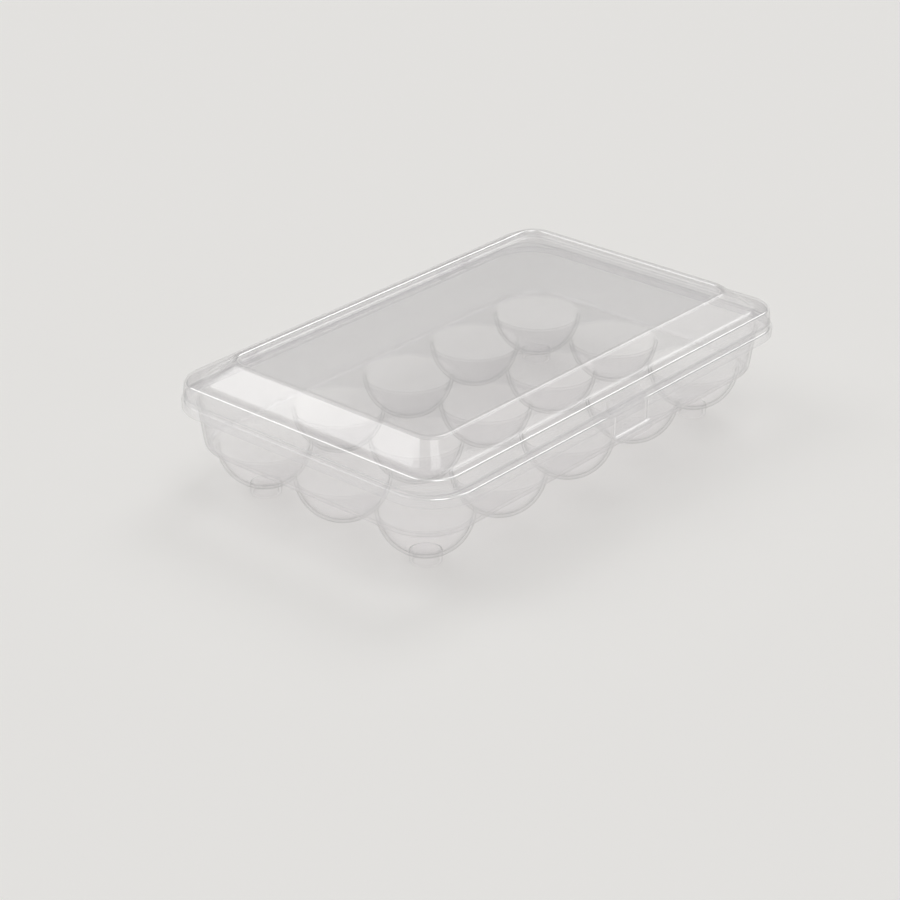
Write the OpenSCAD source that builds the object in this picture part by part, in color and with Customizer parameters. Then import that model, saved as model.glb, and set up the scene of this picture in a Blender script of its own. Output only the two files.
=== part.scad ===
// Egg holder tray: a clear moulded tray with three rows of five egg cups, four small feet,
// and a shallow lid that swings up on two rear hinges and is held shut by a front latch tab.
// X runs along the long side, -Y is the latch side, Z is up. The origin is on the table,
// midway between the four feet.

/* [Egg cups] */
// Outer radius of a cup bowl
cup_radius = 21; // [17:0.1:26]
// Flat deck left between two neighbouring cups
cup_gap = 4.5; // [2:0.1:10]
// Extra radius at the mouth, where the deck turns down into the cup
mouth_flare = 0.9; // [0.3:0.1:1.6]
// Height of the chamfer at the mouth
mouth_depth = 0.9; // [0.3:0.1:2]

/* [Feet] */
// Outer radius of a foot ring
foot_radius = 6.9; // [4:0.1:10]
// Height of the bowl's lowest point above the table
foot_height = 3.6; // [2:0.1:8]
// Wall of a foot ring
foot_wall = 1.4; // [1:0.1:3]

/* [Tray] */
// Wall of the moulded plastic
wall = 1.2; // [0.8:0.1:2]
// Height from the deck to the top of the rim
wall_height = 21.9; // [14:0.1:34]
// How far the side wall leans outward over its height
wall_draft = 3; // [1:0.1:6]
// Plan radius of the deck's corners
deck_corner = 20.5; // [12:0.5:24]
// How far the rim stands out past the wall at the two ends
rim_reach_end = 2.3; // [1.8:0.1:6]
// How far the rim stands out past the wall along the two long sides
rim_reach_side = 4.9; // [2:0.1:8]
// Height of the rim's down-turned lip
lip_height = 4.5; // [2:0.1:8]
// Plan radius of the rim's corners
rim_corner = 22; // [12:0.5:26]

/* [Lid] */
// Gap between the rim and the closed lid
seat_gap = 0.3; // [0.2:0.1:0.6]
// How far the skirt stands in from the rim's edge
skirt_inset = 2.6; // [1.5:0.1:4]
// Height of the skirt
skirt_height = 6.5; // [4:0.1:12]
// How far the skirt leans inward over its height
skirt_draft = 0.7; // [0.3:0.1:2]
// Plan radius of the skirt's corners
skirt_corner = 15; // [10:0.5:20]
// Height of the rounded edge above the skirt
edge_height = 0.8; // [0.4:0.1:1.5]
// Width of the flat ledge between the skirt and the sloping side
ledge_width = 5; // [3:0.1:9]
// Height of the sloping side
slope_rise = 7.6; // [4:0.1:16]
// How far the sloping side leans inward
slope_run = 8.7; // [4:0.1:14]
// Plan radius of the sloping side's top corners
slope_corner = 12; // [5:0.5:13]
// Width of the raised border round the top
border_width = 3; // [2.6:0.1:6]
// Depth of the top panel below the raised border
recess_depth = 2.2; // [1.4:0.1:4]

/* [Latch] */
// Width of the latch tab
tab_width = 23.6; // [14:0.2:40]
// How far the tab reaches below the top of the rim
tab_drop = 12; // [8:0.1:18]
// Thickness of the tab
tab_wall = 1.4; // [1:0.1:2.5]
// Gap between the tab and the rim's lip
tab_gap = 0.5; // [0.3:0.1:1]
// Gap at the tab's flexing root
tab_root_gap = 0.3; // [0.2:0.1:0.6]
// Radius of the tab's lower corners
tab_corner = 2.5; // [1:0.1:5]
// Thickness of the fairing over the tab
bracket_thickness = 1.4; // [1:0.1:3]
// Height of the fairing where it meets the skirt
bracket_rise = 5.6; // [3:0.1:6]

/* [Hinges] */
// Distance between the two hinges
hinge_spacing = 144; // [90:1:180]
// Length of the lid's knuckle
knuckle_length = 12; // [8:0.5:20]
// Length of each tray lug
lug_length = 5; // [3:0.5:8]
// Outer radius of the knuckle and lugs
barrel_radius = 2.2; // [2:0.1:3.5]
// Radius of the moulded pin
pin_radius = 1.2; // [0.8:0.05:1.6]
// Radial clearance of the pin in the lugs
pin_clearance = 0.05; // [0.02:0.01:0.1]
// Gap between moving and fixed hinge faces
hinge_gap = 0.3; // [0.2:0.1:0.6]
// Thickness of the arm from the skirt to the knuckle
arm_thickness = 1.6; // [1.2:0.1:3]

/* [Hidden] */
$fn = 96;
CORNER_FN = 48;
LEVEL = 0.01;

// The grid has five columns and three rows.
cup_pitch = 2 * cup_radius + cup_gap;
half_length = 2.5 * cup_pitch;
half_width = 1.5 * cup_pitch;
bowl_inner = cup_radius - wall;
deck_z = foot_height + cup_radius;
under_deck_z = deck_z - wall;
rim_z = deck_z + wall_height;
flange_z = rim_z - wall;
lip_z = rim_z - lip_height;

// Outer face of the side wall at its foot and under the rim flange.
foot_x = half_length + wall;
foot_y = half_width + wall;
wall_corner = deck_corner + wall;
head_x = foot_x + wall_draft;
head_y = foot_y + wall_draft;
head_corner = wall_corner + wall_draft;
rim_x = head_x + rim_reach_end;
rim_y = head_y + rim_reach_side;

// Lid levels from the seat up.
skirt_z = rim_z + seat_gap;
skirt_x = rim_x - skirt_inset;
skirt_y = rim_y - skirt_inset;
shoulder_z = skirt_z + skirt_height;
shoulder_x = skirt_x - skirt_draft;
shoulder_y = skirt_y - skirt_draft;
shoulder_corner = skirt_corner - skirt_draft;
ledge_z = shoulder_z + edge_height;
ledge_x = shoulder_x - edge_height;
ledge_y = shoulder_y - edge_height;
ledge_corner = shoulder_corner - edge_height;
slope_x = ledge_x - ledge_width;
slope_y = ledge_y - ledge_width;
slope_foot_corner = ledge_corner - 0.5;
slope_head_x = slope_x - slope_run;
slope_head_y = slope_y - slope_run;
slope_head_z = ledge_z + slope_rise;
top_z = slope_head_z + wall;
top_x = slope_head_x - wall;
top_y = slope_head_y - wall;
top_corner = slope_corner - wall;
recess_x = top_x - border_width;
recess_y = top_y - border_width;
recess_corner = max(top_corner - border_width, 2);
panel_z = top_z - recess_depth;

// Hinge axis behind the lip, and the latch tab in front of it.
hinge_y = rim_y + barrel_radius + hinge_gap;
hinge_z = rim_z - barrel_radius;
arm_z = rim_z + seat_gap;
elbow_z = arm_z + arm_thickness - barrel_radius;
tab_back = rim_y + tab_gap;
tab_front = tab_back + tab_wall;
tab_foot_z = rim_z - tab_drop;
tab_root_z = rim_z + seat_gap;
bracket_head_y = skirt_y - skirt_draft * bracket_rise / skirt_height;
finger_y = hinge_y + barrel_radius;
finger_rise = 2.2;

function column_x(column) = (column - 3) * cup_pitch;
function row_y(row) = (row - 2) * cup_pitch;

// A rounded rectangle from its half sizes and corner radius.
module rounded(x, y, r) {
    square([2 * x, 2 * (y - r)], center = true);
    square([2 * (x - r), 2 * y], center = true);
    for (sx = [-1, 1], sy = [-1, 1])
        translate([sx * (x - r), sy * (y - r)])
            circle(r = r);
}

// A straight-sided rounded block between two heights.
module block(x, y, r, low, high) {
    translate([0, 0, low])
        linear_extrude(high - low)
            rounded(x, y, r);
}

// A rounded block whose plan changes from its lower to its upper outline.
module taper(lower, low, upper, high) {
    hull() {
        for (sx = [-1, 1], sy = [-1, 1]) {
            translate([sx * (lower[0] - lower[2]), sy * (lower[1] - lower[2]), low])
                cylinder(r = lower[2], h = LEVEL, $fn = CORNER_FN);
            translate([sx * (upper[0] - upper[2]), sy * (upper[1] - upper[2]), high - LEVEL])
                cylinder(r = upper[2], h = LEVEL, $fn = CORNER_FN);
        }
    }
}

// One square of the deck with the egg cup that hangs from it.
module cup(column, row) {
    x = column_x(column);
    y = row_y(row);
    difference() {
        union() {
            intersection() {
                translate([x - cup_pitch / 2, y - cup_pitch / 2, under_deck_z])
                    cube([cup_pitch, cup_pitch, wall]);
                block(half_length, half_width, deck_corner, under_deck_z - 1, deck_z + 1);
            }
            intersection() {
                translate([x, y, deck_z])
                    sphere(r = cup_radius);
                translate([x - cup_radius - 1, y - cup_radius - 1, 0])
                    cube([2 * cup_radius + 2, 2 * cup_radius + 2, deck_z]);
            }
        }
        translate([x, y, deck_z])
            sphere(r = bowl_inner);
        translate([x, y, deck_z - mouth_depth])
            cylinder(r1 = bowl_inner, r2 = bowl_inner + mouth_flare, h = mouth_depth);
    }
}

// A ring foot that meets the underside of a corner cup.
module foot(column, row) {
    x = column_x(column);
    y = row_y(row);
    difference() {
        translate([x, y, 0])
            cylinder(r = foot_radius, h = foot_height + foot_radius / 2);
        translate([x, y, -1])
            cylinder(r = foot_radius - foot_wall, h = foot_height + foot_radius);
        translate([x, y, deck_z])
            sphere(r = cup_radius);
    }
}

// The leaning side wall, with the edge of the deck inside its foot.
module tray_wall() {
    color([0.86, 0.88, 0.9, 0.6])
    difference() {
        taper([foot_x, foot_y, wall_corner], under_deck_z, [head_x, head_y, head_corner], flange_z);
        taper([foot_x - wall, foot_y - wall, deck_corner], deck_z,
              [head_x - wall, head_y - wall, head_corner - wall], flange_z + LEVEL);
        block(half_length, half_width, deck_corner, under_deck_z - 1, deck_z + 1);
    }
}

// The rim: a flat flange on the wall with a down-turned lip.
module tray_rim() {
    color([0.8, 0.84, 0.88, 0.7])
    difference() {
        block(rim_x, rim_y, rim_corner, lip_z, rim_z);
        block(rim_x - wall, rim_y - wall, rim_corner - wall, lip_z - 1, flange_z);
        block(head_x - wall, head_y - wall, head_corner - wall, lip_z - 1, rim_z + 1);
    }
}

// Two lugs of one hinge, bored for the lid's pin and joined to the rim's lip.
module hinge_lugs(side) {
    color([0.75, 0.8, 0.86, 0.8])
    for (end = [-1, 1]) {
        middle = side * hinge_spacing / 2 + end * (knuckle_length / 2 + hinge_gap + lug_length / 2);
        difference() {
            union() {
                translate([middle - lug_length / 2, hinge_y, hinge_z])
                    rotate([0, 90, 0])
                        cylinder(r = barrel_radius, h = lug_length);
                translate([middle - lug_length / 2, rim_y, hinge_z - barrel_radius])
                    cube([lug_length, barrel_radius + hinge_gap, 2 * barrel_radius]);
            }
            translate([middle - lug_length, hinge_y, hinge_z])
                rotate([0, 90, 0])
                    cylinder(r = pin_radius + pin_clearance, h = 2 * lug_length);
        }
    }
}

// The skirt that stands on the rim, its rounded edge and the flat ledge.
module lid_skirt() {
    color([0.88, 0.9, 0.92, 0.6])
    difference() {
        union() {
            taper([skirt_x, skirt_y, skirt_corner], skirt_z,
                  [shoulder_x, shoulder_y, shoulder_corner], shoulder_z);
            taper([shoulder_x, shoulder_y, shoulder_corner], shoulder_z - LEVEL,
                  [ledge_x, ledge_y, ledge_corner], ledge_z);
        }
        taper([skirt_x - wall, skirt_y - wall, skirt_corner - wall], skirt_z - LEVEL,
              [shoulder_x - wall, shoulder_y - wall, shoulder_corner - wall], ledge_z - wall);
        block(slope_x, slope_y, slope_foot_corner, skirt_z - 1, ledge_z + 1);
    }
}

// The sloping side between the ledge and the raised border.
module lid_slope() {
    color([0.82, 0.86, 0.9, 0.6])
    difference() {
        union() {
            block(slope_x, slope_y, slope_foot_corner, ledge_z - wall, ledge_z);
            taper([slope_x, slope_y, slope_foot_corner], ledge_z - LEVEL,
                  [slope_head_x, slope_head_y, slope_corner], slope_head_z);
        }
        taper([slope_x - wall, slope_y - wall, slope_foot_corner - wall], ledge_z - wall - LEVEL,
              [slope_head_x - wall, slope_head_y - wall, slope_corner - wall],
              slope_head_z + LEVEL);
    }
}

// The raised border and the flat panel set down inside it, where a second box stacks.
module lid_panel() {
    color([0.78, 0.82, 0.86, 0.6]) {
        difference() {
            taper([slope_head_x, slope_head_y, slope_corner], slope_head_z,
                  [top_x, top_y, top_corner], top_z);
            block(recess_x, recess_y, recess_corner, slope_head_z - 1, top_z + 1);
        }
        difference() {
            block(recess_x + wall, recess_y + wall, recess_corner + wall,
                  panel_z - wall, slope_head_z);
            block(recess_x, recess_y, recess_corner, panel_z, slope_head_z + 1);
        }
    }
}

// One lid hinge arm with its knuckle and the pin that turns in the tray's lugs.
module hinge_arm(side) {
    left = side * hinge_spacing / 2 - knuckle_length / 2;
    pin_length = knuckle_length + 2 * (hinge_gap + lug_length);
    color([0.72, 0.78, 0.86, 0.8])
    difference() {
        union() {
            translate([left, hinge_y, hinge_z])
                rotate([0, 90, 0])
                    cylinder(r = barrel_radius, h = knuckle_length);
            translate([left - hinge_gap - lug_length, hinge_y, hinge_z])
                rotate([0, 90, 0])
                    cylinder(r = pin_radius, h = pin_length);
            translate([left, hinge_y, hinge_z])
                cube([knuckle_length, barrel_radius, elbow_z - hinge_z]);
            translate([left, hinge_y, elbow_z])
                rotate([0, 90, 0])
                    cylinder(r = barrel_radius, h = knuckle_length);
            translate([left, skirt_y - skirt_draft, arm_z])
                cube([knuckle_length, hinge_y - skirt_y + skirt_draft, arm_thickness]);
        }
        taper([skirt_x, skirt_y, skirt_corner], skirt_z,
              [shoulder_x, shoulder_y, shoulder_corner], shoulder_z);
    }
}

// The sloping fairing that carries the latch tab out from the skirt over the rim.
module latch_bracket() {
    color([0.76, 0.82, 0.88, 0.8])
    rotate([90, 0, 90])
        translate([0, 0, -tab_width / 2])
            linear_extrude(tab_width)
                polygon([
                    [-tab_front, tab_root_z],
                    [-skirt_y, tab_root_z],
                    [-bracket_head_y, tab_root_z + bracket_rise],
                    [-tab_front, tab_root_z + bracket_thickness]
                ]);
}

// The latch tab, which hangs in front of the rim and flares into a finger lip.
module latch_tab() {
    head_z = tab_root_z - tab_root_gap;
    color([0.7, 0.78, 0.86, 0.8])
    intersection() {
        rotate([90, 0, 90])
            translate([0, 0, -tab_width / 2])
                linear_extrude(tab_width)
                    polygon([
                        [-tab_back, head_z],
                        [-tab_front, head_z],
                        [-tab_front, tab_foot_z + finger_rise + tab_wall],
                        [-finger_y, tab_foot_z + tab_wall],
                        [-finger_y, tab_foot_z],
                        [-tab_back, tab_foot_z + finger_rise]
                    ]);
        translate([0, -tab_back + 1, 0])
            rotate([90, 0, 0])
                linear_extrude(finger_y - tab_back + 2) {
                    translate([-tab_width / 2, tab_foot_z + tab_corner])
                        square([tab_width, tab_drop]);
                    translate([-tab_width / 2 + tab_corner, tab_foot_z])
                        square([tab_width - 2 * tab_corner, tab_drop]);
                    for (sx = [-1, 1])
                        translate([sx * (tab_width / 2 - tab_corner), tab_foot_z + tab_corner])
                            circle(r = tab_corner);
                }
    }
}

CUP_COLOUR = [0.84, 0.87, 0.9, 0.6];
FOOT_COLOUR = [0.7, 0.76, 0.82, 0.8];

module cup_front_1() { color(CUP_COLOUR) cup(1, 1); }
module cup_front_2() { color(CUP_COLOUR) cup(2, 1); }
module cup_front_3() { color(CUP_COLOUR) cup(3, 1); }
module cup_front_4() { color(CUP_COLOUR) cup(4, 1); }
module cup_front_5() { color(CUP_COLOUR) cup(5, 1); }
module cup_middle_1() { color(CUP_COLOUR) cup(1, 2); }
module cup_middle_2() { color(CUP_COLOUR) cup(2, 2); }
module cup_middle_3() { color(CUP_COLOUR) cup(3, 2); }
module cup_middle_4() { color(CUP_COLOUR) cup(4, 2); }
module cup_middle_5() { color(CUP_COLOUR) cup(5, 2); }
module cup_back_1() { color(CUP_COLOUR) cup(1, 3); }
module cup_back_2() { color(CUP_COLOUR) cup(2, 3); }
module cup_back_3() { color(CUP_COLOUR) cup(3, 3); }
module cup_back_4() { color(CUP_COLOUR) cup(4, 3); }
module cup_back_5() { color(CUP_COLOUR) cup(5, 3); }
module foot_front_left() { color(FOOT_COLOUR) foot(1, 1); }
module foot_front_right() { color(FOOT_COLOUR) foot(5, 1); }
module foot_back_left() { color(FOOT_COLOUR) foot(1, 3); }
module foot_back_right() { color(FOOT_COLOUR) foot(5, 3); }
module hinge_lugs_left() { hinge_lugs(-1); }
module hinge_lugs_right() { hinge_lugs(1); }
module hinge_arm_left() { hinge_arm(-1); }
module hinge_arm_right() { hinge_arm(1); }

cup_front_1();
cup_front_2();
cup_front_3();
cup_front_4();
cup_front_5();
cup_middle_1();
cup_middle_2();
cup_middle_3();
cup_middle_4();
cup_middle_5();
cup_back_1();
cup_back_2();
cup_back_3();
cup_back_4();
cup_back_5();
tray_wall();
tray_rim();
foot_front_left();
foot_front_right();
foot_back_left();
foot_back_right();
hinge_lugs_left();
hinge_lugs_right();
lid_skirt();
lid_slope();
lid_panel();
hinge_arm_left();
hinge_arm_right();
latch_bracket();
latch_tab();
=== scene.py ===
"""Looks of a clear moulded egg holder tray: tray, lid, latch tab, hinges and a pale studio."""
import math

import bmesh
import bpy
from bpy.props import FloatProperty, FloatVectorProperty, PointerProperty
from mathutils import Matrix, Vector


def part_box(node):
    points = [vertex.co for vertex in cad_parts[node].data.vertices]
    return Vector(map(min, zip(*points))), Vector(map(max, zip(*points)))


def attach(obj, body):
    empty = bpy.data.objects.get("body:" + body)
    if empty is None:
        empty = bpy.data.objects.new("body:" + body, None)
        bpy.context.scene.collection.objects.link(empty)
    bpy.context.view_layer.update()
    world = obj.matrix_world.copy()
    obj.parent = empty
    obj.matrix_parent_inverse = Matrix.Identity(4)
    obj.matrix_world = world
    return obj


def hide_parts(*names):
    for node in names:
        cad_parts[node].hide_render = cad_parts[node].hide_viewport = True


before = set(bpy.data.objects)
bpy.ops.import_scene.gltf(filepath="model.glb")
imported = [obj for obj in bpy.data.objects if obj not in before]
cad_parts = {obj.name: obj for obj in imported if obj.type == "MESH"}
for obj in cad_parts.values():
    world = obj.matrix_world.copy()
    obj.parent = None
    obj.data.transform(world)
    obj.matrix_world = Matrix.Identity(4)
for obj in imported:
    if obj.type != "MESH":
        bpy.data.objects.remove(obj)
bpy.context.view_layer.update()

bl_info = {
    "name": "Egg holder tray",
    "version": (1, 0, 0),
    "blender": (4, 5, 0),
    "location": "3D View > Sidebar > Egg tray",
    "description": "Builds a clear moulded egg holder tray round its frame",
    "category": "Object",
}

MM = 0.001

# Places and sizes that the frame already fixes.
CUP_LOW, CUP_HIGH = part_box("cup_middle_3")
GRID_LOW, GRID_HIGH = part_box("cup_front_1")[0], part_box("cup_back_5")[1]
WALL_LOW, WALL_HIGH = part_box("tray_wall")
RIM_LOW, RIM_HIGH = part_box("tray_rim")
SKIRT_LOW, SKIRT_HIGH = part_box("lid_skirt")
SLOPE_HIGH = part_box("lid_slope")[1]
PANEL_LOW, PANEL_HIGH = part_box("lid_panel")
FOOT_LOW, FOOT_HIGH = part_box("foot_front_left")
TAB_LOW, TAB_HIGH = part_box("latch_tab")
PITCH = CUP_HIGH.x - CUP_LOW.x
COLUMNS = round((GRID_HIGH.x - GRID_LOW.x) / PITCH)
ROWS = round((GRID_HIGH.y - GRID_LOW.y) / PITCH)
DECK_Z = CUP_HIGH.z
CUP_RADIUS = DECK_Z - CUP_LOW.z
WALL = DECK_Z - WALL_LOW.z
CUP_NODES = sorted(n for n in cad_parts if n.startswith("cup_"))
FOOT_NODES = sorted(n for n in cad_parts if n.startswith("foot_"))

# Points round a cup, and rings in a rounded corner's arc.
CUP_SIDES = 64
QUARTER = CUP_SIDES // 4
ROUND_STEPS = 6
QUARTER_TURN = math.pi / 2

# Signs of x and y at the four corners, anticlockwise.
CORNERS = [(1, 1), (-1, 1), (-1, -1), (1, -1)]

# Shine along a rounded edge, as a share of the finish's edge shine. Under 0 it dulls the face.
FULL_SHINE = 1
RECESS_SHINE = 0.7
SKIRT_FOOT_SHINE = 0.7
CREASE_SHINE = 0.15
WALL_FOOT_SHINE = 0.12
CREST_SHINE = 0.1
FOOT_SHINE = 0.1
SHORT_SLOPE_SHINE = 0.06
BOWL_SHINE = -0.05

# Share of that shine which is left on the two short sides.
TRAY_END_SHARE = 0.12
LID_END_SHARE = 0.6

# How frosted a wall is, as a share of the finish's frost.
WALL_FROST = 1.0
SKIRT_FROST = 0.8
SLOPE_FROST = 0.3


def length(text, default, about):
    """A size in metres for the sidebar."""
    return FloatProperty(name=text, description=about, default=default, unit="LENGTH", precision=4)


class TraySizes(bpy.types.PropertyGroup):
    """Sizes of the tray that its frame doesn't give."""

    deck_corner: length("Deck corner", 20.5 * MM, "Plan radius of the deck's corners")
    head_corner: length("Wall head corner", 23.5 * MM,
                        "Plan radius of the wall's inner face at its head")
    rim_corner: length("Rim corner", 22.0 * MM, "Plan radius of the rim's corners")
    foot_round: length("Wall foot round", 2.0 * MM, "Round between the deck and the side wall")
    head_round: length("Wall head round", 1.3 * MM, "Round between the side wall and the rim")
    rim_round: length("Rim round", 1.2 * MM, "Round on the rim's outer edge")
    mouth_round: length("Cup mouth round", 1.5 * MM, "Round on a cup's mouth")
    foot_wall: length("Foot wall", 1.4 * MM, "Wall of a ring foot")


class LidSizes(bpy.types.PropertyGroup):
    """Sizes of the lid that its frame doesn't give."""

    skirt_corner: length("Skirt corner", 15.0 * MM, "Plan radius of the skirt's corners")
    skirt_draft: length("Skirt draft", 0.78 * MM, "How far the skirt leans in over its height")
    shoulder_round: length("Shoulder round", 1.1 * MM, "Round on the skirt's shoulder")
    slope_corner: length("Slope foot corner", 13.0 * MM, "Plan radius of the slope's foot")
    slope_round: length("Slope foot round", 1.2 * MM, "Round between the ledge and the slope")
    crest_corner: length("Crest corner", 10.6 * MM, "Plan radius of the crest's corners")
    crest_round: length("Crest round", 0.8 * MM, "Round between the slope and the top border")
    border_width: length("Border width", 3.0 * MM, "Width of the raised border")
    recess_corner: length("Recess corner", 7.8 * MM, "Plan radius of the sunk panel's corners")
    recess_round: length("Recess round", 1.1 * MM, "Round on both edges of the recess")


class LatchSizes(bpy.types.PropertyGroup):
    """Sizes of the latch tab."""

    wall: length("Tab wall", 1.4 * MM, "Thickness of the tab")
    corner: length("Tab corner", 2.5 * MM, "Radius of the tab's lower corners")
    edge_round: length("Edge round", 0.5 * MM, "Round on the tab's edges")
    flare: length("Finger flare", 3.0 * MM, "Height over which the tab turns outward")


class Finish(bpy.types.PropertyGroup):
    """Colours and strengths of the clear plastic and the studio."""

    plastic: FloatVectorProperty(
        name="Plastic", description="Tint of the clear plastic", subtype="COLOR",
        size=3, default=(1.0, 0.9985, 1.0), min=0, max=1)
    floor: FloatVectorProperty(
        name="Floor", description="Colour of the studio floor", subtype="COLOR",
        size=3, default=(0.91, 0.902, 0.89), min=0, max=1)
    clearness: FloatProperty(
        name="Clearness", description="Share of light that one face lets straight through",
        default=0.999, min=0, max=1, subtype="FACTOR")
    grazing: FloatProperty(
        name="Grazing clearness", description="The same where a face is seen edge on",
        default=0.45, min=0, max=1, subtype="FACTOR")
    haze: FloatProperty(
        name="Haze", description="Milky share of one face", default=0.005, min=0, max=1,
        subtype="FACTOR")
    frost: FloatProperty(
        name="Frost", description="Milky share of one face of the frosted walls", default=0.14,
        min=0, max=1, subtype="FACTOR")
    edge_shine: FloatProperty(
        name="Edge shine", description="Extra mirror share along rounded edges",
        default=0.85, min=0, max=1, subtype="FACTOR")


class Studio(bpy.types.PropertyGroup):
    """Camera place and lens."""

    azimuth: FloatProperty(
        name="Azimuth", description="Turn of the camera round the object", subtype="ANGLE",
        unit="ROTATION", default=math.radians(-48.96))
    elevation: FloatProperty(
        name="Elevation", description="Height angle of the camera", subtype="ANGLE",
        unit="ROTATION", default=math.radians(26.65))
    distance: length("Distance", 1.0232, "Distance from the camera to its aim")
    aim_x: length("Aim X", -0.0552, "Where the camera looks, along X")
    aim_y: length("Aim Y", -0.0268, "Where the camera looks, along Y")
    aim_z: length("Aim Z", 0.0300, "Where the camera looks, above the table")
    lens: FloatProperty(name="Lens", description="Focal length", default=96.64, unit="CAMERA")


GROUPS = {"egg_tray": TraySizes, "egg_lid": LidSizes, "egg_latch": LatchSizes,
          "egg_finish": Finish, "egg_studio": Studio}


# ---------------------------------------------------------------- node graphs

class Wire:
    """An output socket that can be used in sums; each sum adds its Math node."""

    def __init__(self, graph, socket):
        self.graph = graph
        self.socket = socket

    def _math(self, operation, first, second, clamp=False):
        settings = {"operation": operation, "use_clamp": clamp}
        return self.graph.add("ShaderNodeMath", settings, {0: first, 1: second})

    def __add__(self, other):
        return self._math("ADD", self, other)

    def __radd__(self, other):
        return self._math("ADD", other, self)

    def __sub__(self, other):
        return self._math("SUBTRACT", self, other)

    def __rsub__(self, other):
        return self._math("SUBTRACT", other, self)

    def __mul__(self, other):
        return self._math("MULTIPLY", self, other)

    def __rmul__(self, other):
        return self._math("MULTIPLY", other, self)

    def __pow__(self, other):
        return self._math("POWER", self, other)

    def clamped(self):
        """The same value held between 0 and 1."""
        return self._math("ADD", self, 0.0, clamp=True)


class Graph:
    """A node tree that nodes are added to."""

    def __init__(self, tree):
        self.tree = tree
        tree.nodes.clear()

    def add(self, kind, settings=None, sockets=None, output=0):
        """Adds a node, sets it up, feeds its sockets and gives back one output."""
        node = self.tree.nodes.new(kind)
        for name, value in (settings or {}).items():
            setattr(node, name, value)
        for name, value in (sockets or {}).items():
            if isinstance(value, Wire):
                self.tree.links.new(value.socket, node.inputs[name])
            else:
                node.inputs[name].default_value = value
        return Wire(self, node.outputs[output]) if node.outputs else None


# ---------------------------------------------------------------- meshes

def from_bmesh(name, bm):
    """Turns a bmesh into a scene object, whose place is in its points, and frees it."""
    mesh = bpy.data.meshes.new(name)
    bm.to_mesh(mesh)
    bm.free()
    obj = bpy.data.objects.new(name, mesh)
    bpy.context.scene.collection.objects.link(obj)
    return obj


def made_plain(obj):
    """Bakes an object's modifiers into its mesh and removes them."""
    bpy.context.view_layer.update()
    seen = obj.evaluated_get(bpy.context.evaluated_depsgraph_get())
    mesh = bpy.data.meshes.new_from_object(seen)
    obj.modifiers.clear()
    old, obj.data = obj.data, mesh
    bpy.data.meshes.remove(old)


def modifier(obj, kind, **settings):
    """Adds a modifier with these settings."""
    added = obj.modifiers.new(kind.title(), kind)
    for name, value in settings.items():
        setattr(added, name, value)
    return added


def shelled(obj, thickness, edge=0.3 * MM):
    """Gives a sheet its wall below its faces, rounds its cut edges and shades it smooth."""
    obj.data.shade_smooth()
    modifier(obj, "SOLIDIFY", thickness=thickness, offset=-1, use_even_offset=True,
             use_quality_normals=True)
    modifier(obj, "BEVEL", width=edge, segments=2, limit_method="ANGLE",
             angle_limit=math.radians(60))
    modifier(obj, "WEIGHTED_NORMAL", keep_sharp=True)
    made_plain(obj)


def add_ring(bm, points, edge=0.0):
    """Adds one closed ring of points that share an edge value."""
    layer = bm.verts.layers.float["edge"]
    ring = [bm.verts.new(p) for p in points]
    for vert in ring:
        vert[layer] = edge
    return ring


def bridge(bm, first, second):
    """Joins two rings of equal count with quads."""
    count = len(first)
    for i in range(count):
        j = (i + 1) % count
        bm.faces.new((first[i], first[j], second[j], second[i]))


def new_bmesh():
    """An empty bmesh with the layers that mark rounded edges and frosted walls."""
    bm = bmesh.new()
    bm.verts.layers.float.new("edge")
    bm.verts.layers.float.new("frost")
    return bm


def frosted(bm, share, low, high):
    """Marks what lies between two heights as frosted."""
    layer = bm.verts.layers.float["frost"]
    for vert in bm.verts:
        if low < vert.co.z < high:
            vert[layer] = share


def arc_step(start, corner, end, weight, t):
    """A point on the circle arc that touches both legs of a corner."""
    a, b, c = (1 - t) ** 2, 2 * weight * t * (1 - t), t ** 2
    return (a * start + b * corner + c * end) / (a + b + c)


def rounded_profile(stations):
    """Rings (x, y, corner, z, shine) along a profile whose inner corners are rounded.

    Each station is (half x, half y, plan corner, height, round, shine). A round is the length
    that it takes off both legs; its shine is full in its middle and fades to both ends. A
    station with no round keeps its shine."""
    rings = []
    for i, (x, y, corner, z, size, shine) in enumerate(stations):
        if not size or i in (0, len(stations) - 1):
            rings.append((x, y, corner, z, shine))
            continue
        ends = []
        for near in (stations[i - 1], stations[i + 1]):
            x_share = min(size / math.hypot(near[0] - x, near[3] - z), 0.5)
            y_share = min(size / math.hypot(near[1] - y, near[3] - z), 0.5)
            ends.append((x + (near[0] - x) * x_share, y + (near[1] - y) * y_share,
                         corner + (near[2] - corner) * x_share, z + (near[3] - z) * x_share))
        leg_in = Vector((ends[0][0] - x, ends[0][3] - z)).normalized()
        leg_out = Vector((ends[1][0] - x, ends[1][3] - z)).normalized()
        weight = math.sin(leg_in.angle(leg_out) / 2)
        for step in range(ROUND_STEPS + 1):
            t = step / ROUND_STEPS
            place = [arc_step(a, m, b, weight, t)
                     for a, m, b in zip(ends[0], (x, y, corner, z), ends[1])]
            rings.append((*place, shine * math.sin(math.pi * t) ** 4))
    return rings


def ring_points(outline, x, y, corner, z):
    """Points of one rounded rectangle; the outline says how each follows its half sizes."""
    return [Vector((u * (x - corner) + nx * corner, v * (y - corner) + ny * corner, z))
            for u, v, nx, ny in outline]


def corner_marks(q, steps):
    """The part of an outline that runs along the quarter arc of one corner."""
    angles = [(q + step / steps) * QUARTER_TURN for step in range(steps + 1)]
    return [(*CORNERS[q], math.cos(a), math.sin(a)) for a in angles]


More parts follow.
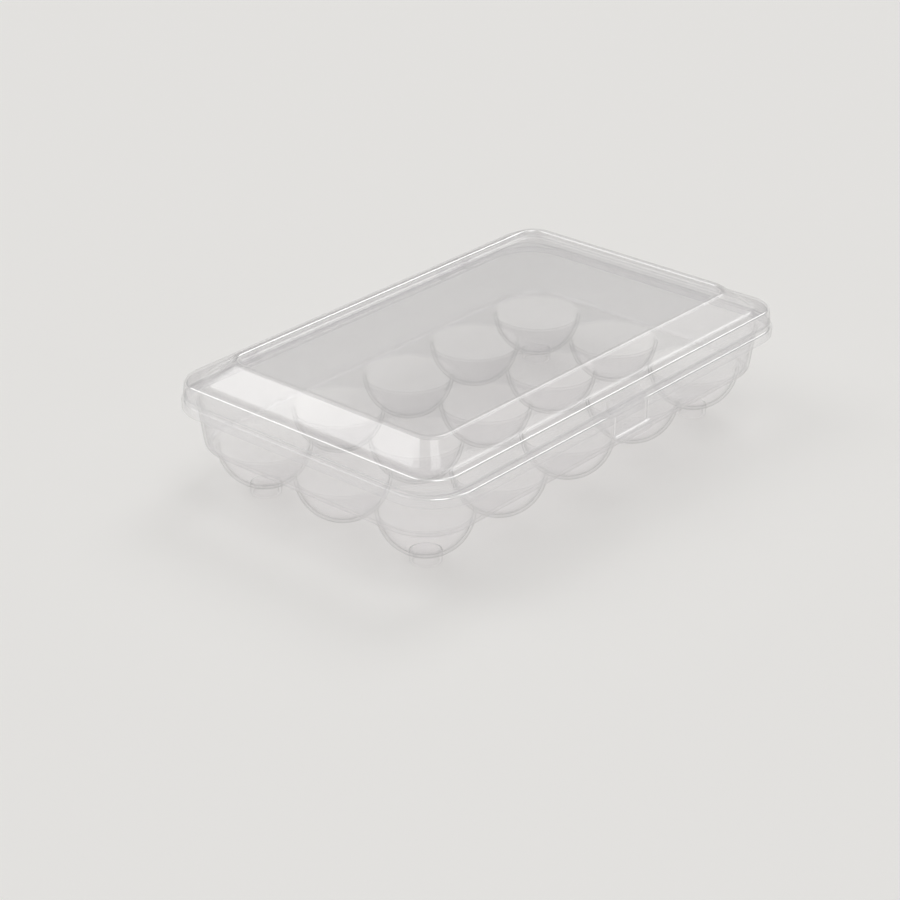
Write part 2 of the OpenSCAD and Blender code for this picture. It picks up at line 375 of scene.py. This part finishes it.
def plain_outline(corner_steps, long_steps, short_steps):
    """An outline for ring_points: four quarter arcs and four straight sides, anticlockwise."""
    marks = []
    for q, (u, v) in enumerate(CORNERS):
        marks += corner_marks(q, corner_steps)
        u2, v2 = CORNERS[(q + 1) % 4]
        steps = long_steps if v == v2 else short_steps
        nx, ny = marks[-1][2:]
        marks += [(u + (u2 - u) * s / steps, v + (v2 - v) * s / steps, nx, ny)
                  for s in range(1, steps)]
    return marks


def sweep(bm, outline, rings, end_share):
    """Bridges one ring after the other and gives back the last.

    The edge value is scaled down to end_share on the two short sides."""
    layer = bm.verts.layers.float["edge"]
    made = []
    for *place, shine in rings:
        made.append(add_ring(bm, ring_points(outline, *place)))
        for vert, (_, _, nx, _) in zip(made[-1], outline):
            vert[layer] = shine * (1 - (1 - end_share) * nx ** 2)
    for first, second in zip(made, made[1:]):
        bridge(bm, first, second)
    return made[-1]


def facing_up(bm, high_faces):
    """Makes all faces agree, with the high ones facing up."""
    bmesh.ops.recalc_face_normals(bm, faces=bm.faces)
    bm.normal_update()
    top = max(bm.faces, key=high_faces)
    if top.normal.z < 0:
        bmesh.ops.reverse_faces(bm, faces=bm.faces)


# ---------------------------------------------------------------- tray

def cell_outline(column, row, corner):
    """Deck points round one cup's square, from its right side anticlockwise.

    A square at a corner of the deck has the deck's round corner."""
    x, y = (column - (COLUMNS - 1) / 2) * PITCH, (row - (ROWS - 1) / 2) * PITCH
    half = PITCH / 2
    points = []
    turns = [(1, 0), (0, 1), (-1, 0), (0, -1)]
    for q, turn in enumerate(turns):
        side = turns[(q + 1) % 4]
        sx, sy = turn[0] + side[0], turn[1] + side[1]
        on_corner = (column == (COLUMNS - 1 if sx > 0 else 0)
                     and row == (ROWS - 1 if sy > 0 else 0))
        for step in range(QUARTER):
            if on_corner:
                offset = half - corner
                if step == 0:
                    along, across = half, 0.0
                else:
                    angle = (step - 1) / (QUARTER - 2) * QUARTER_TURN
                    along = offset + corner * math.cos(angle)
                    across = offset + corner * math.sin(angle)
            else:
                along = half if step <= QUARTER / 2 else half * (2 - 2 * step / QUARTER)
                across = half * min(2 * step / QUARTER, 1)
            points.append(Vector((x + turn[0] * along + side[0] * across,
                                  y + turn[1] * along + side[1] * across, DECK_Z)))
    return Vector((x, y, DECK_Z)), points


def deck_outline(corner):
    """The deck's edge as an outline for ring_points, matched to the cups' squares."""
    core_x, core_y = COLUMNS * PITCH / 2 - corner, ROWS * PITCH / 2 - corner
    marks = []
    spacing = PITCH / QUARTER
    for q in range(4):
        marks += corner_marks(q, QUARTER - 2)
        count, core = (ROWS, core_y) if q % 2 else (COLUMNS, core_x)
        nx, ny = marks[-1][2:]
        for step in range((count - 1) * QUARTER + 1):
            share = ((count - 1) * PITCH / 2 - step * spacing) / core
            u, v = [(share, 1), (-1, share), (-share, -1), (1, -share)][q]
            marks.append((u, v, nx, ny))
    return marks


def cup_profile(sizes):
    """The cup's inner face as (radius, height, edge), from the pole to the deck."""
    inner = CUP_RADIUS - WALL
    small = sizes.mouth_round
    reach = inner + small
    mouth_angle = math.acos(small / reach)
    centre = math.sqrt(reach ** 2 - small ** 2)
    bowl_steps = 14
    profile = [(inner * math.sin(mouth_angle * step / bowl_steps),
                DECK_Z - inner * math.cos(mouth_angle * step / bowl_steps), BOWL_SHINE)
               for step in range(bowl_steps + 1)]
    for step in range(1, ROUND_STEPS + 1):
        t = step / ROUND_STEPS
        angle = mouth_angle * (1 - t)
        profile.append((centre - small * math.sin(angle),
                        DECK_Z - small + small * math.cos(angle), 0))
    return profile


def lathe(profile, sides):
    """A bmesh turned from (radius, height, edge) points; a point on the axis closes it."""
    bm = new_bmesh()
    layer = bm.verts.layers.float["edge"]
    on_axis = 0.001 * MM
    before = None
    for radius, z, edge in profile:
        if radius < on_axis:
            pole = bm.verts.new((0, 0, z))
            pole[layer] = edge
            before = [pole]
            continue
        ring = add_ring(bm, [Vector((radius * math.cos(a), radius * math.sin(a), z))
                             for a in (2 * math.pi * i / sides for i in range(sides))], edge)
        if before and len(before) == 1:
            for i in range(sides):
                bm.faces.new((before[0], ring[i], ring[(i + 1) % sides]))
        elif before:
            bridge(bm, before, ring)
        before = ring
    return bm


def grid_tree():
    """Geometry Nodes that repeat a piece on a flat grid of points."""
    tree = bpy.data.node_groups.new("Repeat on a grid", "GeometryNodeTree")
    face = tree.interface
    face.new_socket("Geometry", in_out="INPUT", socket_type="NodeSocketGeometry")
    face.new_socket("Geometry", in_out="OUTPUT", socket_type="NodeSocketGeometry")
    for name, kind in (("Columns", "NodeSocketInt"), ("Rows", "NodeSocketInt"),
                       ("Spacing X", "NodeSocketFloat"), ("Spacing Y", "NodeSocketFloat"),
                       ("Material", "NodeSocketMaterial")):
        face.new_socket(name, in_out="INPUT", socket_type=kind)
    graph = Graph(tree)
    group = tree.nodes.new("NodeGroupInput")
    value = {s.name: Wire(graph, s) for s in group.outputs if s.name}
    points = graph.add("GeometryNodeMeshGrid", None, {
        "Size X": (value["Columns"] - 1) * value["Spacing X"],
        "Size Y": (value["Rows"] - 1) * value["Spacing Y"],
        "Vertices X": value["Columns"], "Vertices Y": value["Rows"]})
    placed = graph.add("GeometryNodeInstanceOnPoints", None,
                       {"Points": points, "Instance": value["Geometry"]})
    real = graph.add("GeometryNodeRealizeInstances", None, {"Geometry": placed})
    dressed = graph.add("GeometryNodeSetMaterial", None,
                        {"Geometry": real, "Material": value["Material"]})
    graph.add("NodeGroupOutput", None, {"Geometry": dressed})
    return tree


def repeated(obj, columns, rows, spacing_x, spacing_y, material):
    """Repeats an object's mesh on a grid and makes the result plain."""
    tree = bpy.data.node_groups.get("Repeat on a grid") or grid_tree()
    added = modifier(obj, "NODES", node_group=tree)
    inputs = {"Columns": columns, "Rows": rows, "Spacing X": spacing_x,
              "Spacing Y": spacing_y, "Material": material}
    for item in tree.interface.items_tree:
        if item.in_out == "INPUT" and item.name in inputs:
            added[item.identifier] = inputs[item.name]
    made_plain(obj)


def build_tray(scene):
    """Deck, cups, side wall and rim as one thin shell."""
    sizes = scene.egg_tray
    material = clear_plastic("clear_tray", scene.egg_finish, gleam=0.025)
    cups = from_bmesh("cups", lathe(cup_profile(sizes), CUP_SIDES))
    repeated(cups, COLUMNS, ROWS, PITCH, PITCH, material)

    # The deck: rings from each cup's mouth out to its square.
    bm = new_bmesh()
    mouth = cup_profile(sizes)[-1][0]
    ways_out = (0, 0.12, 0.55, 1)
    for column in range(COLUMNS):
        for row in range(ROWS):
            middle, outer = cell_outline(column, row, sizes.deck_corner)
            inner = [middle + mouth * Vector((math.cos(a), math.sin(a), 0))
                     for a in (2 * math.pi * i / CUP_SIDES for i in range(CUP_SIDES))]
            rings = [add_ring(bm, [a.lerp(b, t) for a, b in zip(inner, outer)])
                     for t in ways_out]
            for first, second in zip(rings, rings[1:]):
                bridge(bm, first, second)
    bm.from_mesh(cups.data)
    bpy.data.objects.remove(cups)

    # The wall and the rim. The first station only leads into the round, so its ring is dropped.
    deck_x, deck_y = GRID_HIGH.x, GRID_HIGH.y
    head_x, head_y = WALL_HIGH.x - WALL, WALL_HIGH.y - WALL
    lead = 3 * MM
    stations = [
        (deck_x - lead, deck_y - lead, sizes.deck_corner, DECK_Z, 0, 0),
        (deck_x, deck_y, sizes.deck_corner, DECK_Z, sizes.foot_round, WALL_FOOT_SHINE),
        (head_x, head_y, sizes.head_corner, RIM_HIGH.z, sizes.head_round, 0),
        (RIM_HIGH.x, RIM_HIGH.y, sizes.rim_corner, RIM_HIGH.z, sizes.rim_round, FULL_SHINE),
        (RIM_HIGH.x, RIM_HIGH.y, sizes.rim_corner, RIM_LOW.z, 0, 0),
    ]
    rings = rounded_profile(stations)[1:]
    sweep(bm, deck_outline(sizes.deck_corner), rings, TRAY_END_SHARE)
    bmesh.ops.remove_doubles(bm, verts=bm.verts, dist=0.01 * MM)
    facing_up(bm, lambda f: f.calc_center_median().z)

    # The latch covers the rim's edge in the middle of the front, so it has no shine there.
    layer = bm.verts.layers.float["edge"]
    beside_tab = 0.8 * MM
    for vert in bm.verts:
        if abs(vert.co.x) < TAB_HIGH.x + beside_tab and vert.co.y < -deck_y - WALL:
            vert[layer] = min(vert[layer], 0.0)
    frosted(bm, WALL_FROST, DECK_Z + 0.1 * MM, RIM_HIGH.z + WALL)
    tray = from_bmesh("tray_shell", bm)
    tray.data.materials.append(material)
    shelled(tray, WALL)
    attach(tray, "tray")
    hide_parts(*CUP_NODES, "tray_wall", "tray_rim")


def build_feet(scene):
    """Four ring feet under the corner cups."""
    sizes = scene.egg_tray
    outer = (FOOT_HIGH.x - FOOT_LOW.x) / 2
    inner = outer - sizes.foot_wall
    small = 0.45 * MM
    gap = 0.02 * MM

    def under_bowl(radius):
        """Height just under the cup's outer face."""
        return DECK_Z - math.sqrt(CUP_RADIUS ** 2 - radius ** 2) - gap

    profile = [(outer, under_bowl(outer), 0)]
    for middle, start in ((outer - small, 0), (inner + small, 1)):
        for step in range(ROUND_STEPS + 1):
            angle = (start + step / ROUND_STEPS) * QUARTER_TURN
            profile.append((middle + small * math.cos(angle), small - small * math.sin(angle),
                            FOOT_SHINE * math.sin(math.pi * step / ROUND_STEPS)))
    profile.append((inner, under_bowl(inner), 0))
    profile.append(profile[0])
    bm = lathe(profile, CUP_SIDES)
    bmesh.ops.remove_doubles(bm, verts=bm.verts, dist=0.001 * MM)
    bmesh.ops.recalc_face_normals(bm, faces=bm.faces)
    feet = from_bmesh("tray_feet", bm)
    material = clear_plastic("clear_foot", scene.egg_finish, gleam=0.01)
    repeated(feet, 2, 2, (COLUMNS - 1) * PITCH, (ROWS - 1) * PITCH, material)
    feet.data.shade_smooth()
    modifier(feet, "WEIGHTED_NORMAL", keep_sharp=True)
    made_plain(feet)
    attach(feet, "tray")
    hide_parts(*FOOT_NODES)


# ---------------------------------------------------------------- lid

def build_lid(scene):
    """Skirt, ledge, sloping side, border and sunk panel as one thin shell."""
    sizes = scene.egg_lid
    bm = new_bmesh()
    x, y = SKIRT_HIGH.x, SKIRT_HIGH.y
    ledge_z = SKIRT_HIGH.z
    slope_x, slope_y = SLOPE_HIGH.x, SLOPE_HIGH.y
    lean = (slope_x - PANEL_HIGH.x) / (SLOPE_HIGH.z - ledge_z)
    crest_in = (PANEL_HIGH.z - ledge_z) * lean
    crest_x, crest_y = slope_x - crest_in, slope_y - crest_in
    cut_x = PANEL_HIGH.x - WALL - sizes.border_width
    cut_y = PANEL_HIGH.y - WALL - sizes.border_width
    panel_z = PANEL_LOW.z + WALL
    draft, round_in = sizes.skirt_draft, sizes.recess_round
    hem, hem_in = 0.5 * MM, 0.06 * MM
    flank, inset = 0.3 * MM, 4 * MM
    stations = [
        (x, y, sizes.skirt_corner, SKIRT_LOW.z, 0, SKIRT_FOOT_SHINE),
        (x - hem_in, y - hem_in, sizes.skirt_corner, SKIRT_LOW.z + hem, 0, 0),
        (x - draft, y - draft, sizes.skirt_corner - draft, ledge_z, sizes.shoulder_round,
         FULL_SHINE),
        (slope_x, slope_y, sizes.slope_corner, ledge_z, sizes.slope_round, 0),
        (crest_x, crest_y, sizes.crest_corner, PANEL_HIGH.z, sizes.crest_round, CREST_SHINE),
        (cut_x, cut_y, sizes.recess_corner, PANEL_HIGH.z, round_in, RECESS_SHINE),
        (cut_x - flank, cut_y - flank, sizes.recess_corner - flank, panel_z, round_in, 0),
        (cut_x - inset, cut_y - inset, sizes.recess_corner - inset, panel_z, 0, 0),
    ]
    outline = plain_outline(corner_steps=14, long_steps=14, short_steps=8)
    bm.faces.new(sweep(bm, outline, rounded_profile(stations), LID_END_SHARE))

    # The two short slopes are a little brighter, away from their crest and foot.
    layer = bm.verts.layers.float["edge"]
    margin = 0.3 * MM
    for vert in bm.verts:
        place = vert.co
        if (abs(place.x) > crest_x - 1 * MM and abs(place.y) < slope_y - sizes.slope_corner
                and ledge_z + margin < place.z < PANEL_HIGH.z - margin):
            vert[layer] = SHORT_SLOPE_SHINE
    frosted(bm, SLOPE_FROST, ledge_z, PANEL_HIGH.z - 1 * MM)
    frosted(bm, SKIRT_FROST, SKIRT_LOW.z - WALL, ledge_z)
    facing_up(bm, lambda f: f.calc_area())
    lid = from_bmesh("lid_shell", bm)
    lid.data.materials.append(clear_plastic("clear_lid", scene.egg_finish))
    shelled(lid, WALL)
    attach(lid, "lid")
    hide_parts("lid_skirt", "lid_slope", "lid_panel")


# ---------------------------------------------------------------- latch and hinges

def build_latch(scene):
    """The latch tab, and the fairing that carries it out from the skirt."""
    sizes = scene.egg_latch
    bm = new_bmesh()
    half = (TAB_HIGH.x - TAB_LOW.x) / 2
    back = TAB_HIGH.y
    middle = back - sizes.wall / 2
    drop = TAB_HIGH.z - TAB_LOW.z
    straight = drop - sizes.flare
    rows, columns = 26, 8
    side_strip = 0.7 * MM
    crease = 0.15
    layer = bm.verts.layers.float["edge"]
    reach = middle - sizes.wall / 2 - TAB_LOW.y
    grid = []
    for i in range(rows + 1):
        s = math.sin(QUARTER_TURN * i / rows) * drop
        into_flare = max(s - straight, 0) / sizes.flare
        y = middle - reach * math.sqrt(1 - (1 - into_flare) ** 2)
        z = TAB_HIGH.z - s
        from_tip = max(sizes.corner - (drop - s), 0)
        width = half - sizes.corner + math.sqrt(sizes.corner ** 2 - from_tip ** 2)
        strip = side_strip / width
        shares = [-1, -1 + strip, *(2 * k / columns - 1 for k in range(1, columns)), 1 - strip, 1]
        grid.append([bm.verts.new((width * share, y, z)) for share in shares])
        for j, vert in enumerate(grid[-1]):
            if j in (0, len(shares) - 1) and not into_flare:
                vert[layer] = FULL_SHINE
            elif 0 < into_flare < crease:
                vert[layer] = CREASE_SHINE
    for upper, lower in zip(grid, grid[1:]):
        for j in range(len(upper) - 1):
            bm.faces.new((upper[j], upper[j + 1], lower[j + 1], lower[j]))
    frosted(bm, SKIRT_FROST, 0, TAB_HIGH.z + WALL)
    tab = from_bmesh("latch_tab_shell", bm)
    tab.data.materials.append(clear_plastic("clear_tab", scene.egg_finish))
    tab.data.shade_smooth()
    modifier(tab, "SOLIDIFY", thickness=sizes.wall, offset=0, use_even_offset=True)
    modifier(tab, "BEVEL", width=sizes.edge_round, segments=3, limit_method="ANGLE",
             angle_limit=math.radians(50))
    modifier(tab, "WEIGHTED_NORMAL", keep_sharp=True)
    made_plain(tab)
    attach(tab, "latch")
    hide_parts("latch_tab")
    softened(scene, "latch_shelf", ["latch_bracket"], "lid", 0.5 * MM)


def softened(scene, name, nodes, body, width):
    """A copy of some CAD nodes with rounded edges, which stands for them."""
    bm = new_bmesh()
    for node in nodes:
        bm.from_mesh(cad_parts[node].data)
    bmesh.ops.remove_doubles(bm, verts=bm.verts, dist=0.001 * MM)
    bmesh.ops.dissolve_limit(bm, angle_limit=math.radians(1), verts=bm.verts, edges=bm.edges)
    frosted(bm, SKIRT_FROST, 0, PANEL_HIGH.z)
    obj = from_bmesh(name, bm)
    obj.data.materials.append(clear_plastic("clear_" + name, scene.egg_finish))
    obj.data.shade_smooth()
    modifier(obj, "BEVEL", width=width, segments=3, limit_method="ANGLE",
             angle_limit=math.radians(35))
    modifier(obj, "WEIGHTED_NORMAL", keep_sharp=True)
    made_plain(obj)
    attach(obj, body)
    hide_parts(*nodes)


def build_hinges(scene):
    """Lugs on the tray and arms with their pins on the lid."""
    width = 0.25 * MM
    for side in ("left", "right"):
        softened(scene, f"hinge_lugs_{side}_shell", [f"hinge_lugs_{side}"],
                 "tray", width)
        softened(scene, f"hinge_arm_{side}_shell", [f"hinge_arm_{side}"],
                 "lid", width)


# ---------------------------------------------------------------- finishes

def colour_mix(graph, factor, first, second):
    """A colour that goes from the first to the second as the factor goes from 0 to 1."""
    # The colour sockets of a Mix node share their names with its others, so they go by number.
    return graph.add("ShaderNodeMix", {"data_type": "RGBA"},
                     {"Factor": factor, 6: first, 7: second}, output=2)


def clear_plastic(name, finish, gleam=0.04):
    """Clear moulded plastic: see-through, with a mirror share that grows at grazing angles.

    The gleam is the mirror share of a face that is seen straight on. Flow is the slow change
    that the moulding leaves over a few centimetres, and fine is the grain of the surface."""
    material = bpy.data.materials.new(name)
    material.use_nodes = True
    graph = Graph(material.node_tree)
    place = graph.add("ShaderNodeTexCoord", output="Object")
    facing = graph.add("ShaderNodeLayerWeight", None, {"Blend": 0.5}, output="Facing")
    edge = graph.add("ShaderNodeAttribute", {"attribute_name": "edge"}, output="Fac")
    frost = graph.add("ShaderNodeAttribute", {"attribute_name": "frost"}, output="Fac")
    flow = graph.add("ShaderNodeTexNoise", None,
                     {"Vector": place, "Scale": 45.0, "Detail": 2.0, "Roughness": 0.4})
    fine = graph.add("ShaderNodeTexNoise", None,
                     {"Vector": place, "Scale": 900.0, "Detail": 3.0, "Roughness": 0.6})
    bump = graph.add("ShaderNodeBump", None, {
        "Strength": 0.08, "Distance": 0.0004, "Height": flow + fine * 0.02})
    mirror_rise, dense_rise = 5, 7
    mirror = gleam + (1 - gleam) * facing ** mirror_rise + edge * finish.edge_shine
    roughness = 0.05 + fine * 0.04 + edge * 0.12
    clear = graph.add("ShaderNodeBsdfTransparent", None, {
        "Color": (*(c * finish.clearness for c in finish.plastic), 1)})
    dense = graph.add("ShaderNodeBsdfTransparent", None, {
        "Color": (*(c * finish.grazing for c in finish.plastic), 1)})
    gloss = graph.add("ShaderNodeBsdfAnisotropic", {"distribution": "GGX"}, {
        "Color": (1, 1, 1, 1), "Roughness": roughness, "Normal": bump})
    milk = colour_mix(graph, flow, (0.90, 0.90, 0.915, 1), (0.99, 0.98, 0.985, 1))
    body = graph.add("ShaderNodeBsdfPrincipled", None, {
        "Base Color": milk, "Roughness": 0.3 + fine * 0.2})
    through = graph.add("ShaderNodeMixShader", None,
                        {0: (facing ** dense_rise).clamped(), 1: clear, 2: dense})
    wet = graph.add("ShaderNodeMixShader", None,
                    {0: mirror.clamped(), 1: through, 2: gloss})
    whole = graph.add("ShaderNodeMixShader", None,
                      {0: finish.haze + flow * 0.01 + frost * finish.frost, 1: wet, 2: body})
    graph.add("ShaderNodeOutputMaterial", None, {"Surface": whole})
    return material


def floor_material(finish):
    """Smooth pale studio paper."""
    material = bpy.data.materials.new("studio_floor")
    material.use_nodes = True
    graph = Graph(material.node_tree)
    body = graph.add("ShaderNodeBsdfDiffuse", None, {"Color": (*finish.floor, 1)})
    graph.add("ShaderNodeOutputMaterial", None, {"Surface": body})
    return material


# ---------------------------------------------------------------- stage

def soft_sun(name, direction, strength, angle):
    """A round soft light far away, seen under this many degrees; direction points to it."""
    lamp = bpy.data.lights.new(name, "SUN")
    lamp.energy = strength
    lamp.angle = math.radians(angle)
    obj = bpy.data.objects.new(name, lamp)
    obj.rotation_euler = Vector(direction).to_track_quat("Z", "Y").to_euler()
    bpy.context.scene.collection.objects.link(obj)


def studio_world():
    """Pale surroundings with a darker band, which is what the flat top of the lid mirrors."""
    world = bpy.data.worlds.new("studio")
    bpy.context.scene.world = world
    world.use_nodes = True
    graph = Graph(world.node_tree)
    way = graph.add("ShaderNodeTexCoord", output="Generated")
    height = graph.add("ShaderNodeSeparateXYZ", None, {0: way}, output="Z")

    def rise(start, end):
        """A share that goes from 0 at one height to 1 at another."""
        return graph.add("ShaderNodeMapRange", {"interpolation_type": "SMOOTHSTEP"}, {
            "Value": height, "From Min": start, "From Max": end, "To Min": 0.0, "To Max": 1.0})

    into, out = rise(0.28, 0.38), rise(0.50, 0.62)
    paler_above = 0.76
    colour = colour_mix(graph, into - out * paler_above,
                        (0.752, 0.745, 0.73, 1), (0.26, 0.26, 0.26, 1))
    back = graph.add("ShaderNodeBackground", None, {"Color": colour, "Strength": 1.0})
    graph.add("ShaderNodeOutputWorld", None, {"Surface": back})


def build_stage(scene):
    """Camera, pale floor, soft lights and surroundings."""
    studio = scene.egg_studio
    bm = bmesh.new()
    bmesh.ops.create_circle(bm, cap_ends=True, segments=96, radius=40.0)
    floor = from_bmesh("studio_floor", bm)
    floor.data.materials.append(floor_material(scene.egg_finish))

    back = Vector((math.sin(studio.azimuth) * math.cos(studio.elevation),
                   -math.cos(studio.azimuth) * math.cos(studio.elevation),
                   math.sin(studio.elevation)))
    data = bpy.data.cameras.new("camera")
    data.lens = studio.lens
    camera = bpy.data.objects.new("camera", data)
    camera.location = Vector((studio.aim_x, studio.aim_y, studio.aim_z)) + back * studio.distance
    camera.rotation_euler = (-back).to_track_quat("-Z", "Y").to_euler()
    scene.collection.objects.link(camera)
    scene.camera = camera
    studio_world()
    soft_sun("key_light", (-0.354, 0.587, 0.728), strength=0.42, angle=42)
    soft_sun("side_light", (0.674, 0.15, 0.72), strength=0.45, angle=30)
    soft_sun("corner_light", (-0.03, -0.24, 0.97), strength=0.22, angle=24)
    scene.view_settings.view_transform = "Standard"
    # A slanting view passes through many thin walls.
    scene.cycles.transparent_max_bounces = 48
    scene.cycles.max_bounces = 16


# ---------------------------------------------------------------- add-on

def operator(label, about, build):
    """An operator class that runs one build function."""
    word = build.__name__.replace("build_", "")

    def execute(self, context):
        build(context.scene)
        return {"FINISHED"}

    return type("EGGTRAY_OT_" + word, (bpy.types.Operator,), {
        "__doc__": about, "bl_idname": "eggtray." + word, "bl_label": label,
        "execute": execute})


OPERATORS = [
    operator("Stage", "Add the floor, the lights and the camera", build_stage),
    operator("Tray", "Build the deck, cups, side wall and rim", build_tray),
    operator("Feet", "Build the four ring feet", build_feet),
    operator("Lid", "Build the lid", build_lid),
    operator("Latch", "Build the latch tab and its fairing", build_latch),
    operator("Hinges", "Build the hinge lugs and arms", build_hinges),
]


class EGGTRAY_PT_panel(bpy.types.Panel):
    """Lists the steps that build the egg tray."""

    bl_label = "Egg tray"
    bl_space_type = "VIEW_3D"
    bl_region_type = "UI"
    bl_category = "Egg tray"

    def draw(self, context):
        for step in OPERATORS:
            self.layout.operator(step.bl_idname)


def register():
    """Adds the property groups, the operators and the panel."""
    for name, group in GROUPS.items():
        bpy.utils.register_class(group)
        setattr(bpy.types.Scene, name, PointerProperty(type=group))
    for step in OPERATORS:
        bpy.utils.register_class(step)
    bpy.utils.register_class(EGGTRAY_PT_panel)


def unregister():
    """Takes them away again."""
    bpy.utils.unregister_class(EGGTRAY_PT_panel)
    for step in reversed(OPERATORS):
        bpy.utils.unregister_class(step)
    for name, group in GROUPS.items():
        delattr(bpy.types.Scene, name)
        bpy.utils.unregister_class(group)


def main():
    """Builds everything and writes the CAD box and the finished box."""
    register()
    for step in OPERATORS:
        word = step.bl_idname.split(".")[1]
        getattr(bpy.ops.eggtray, word)()


if __name__ == "__main__":
    main()
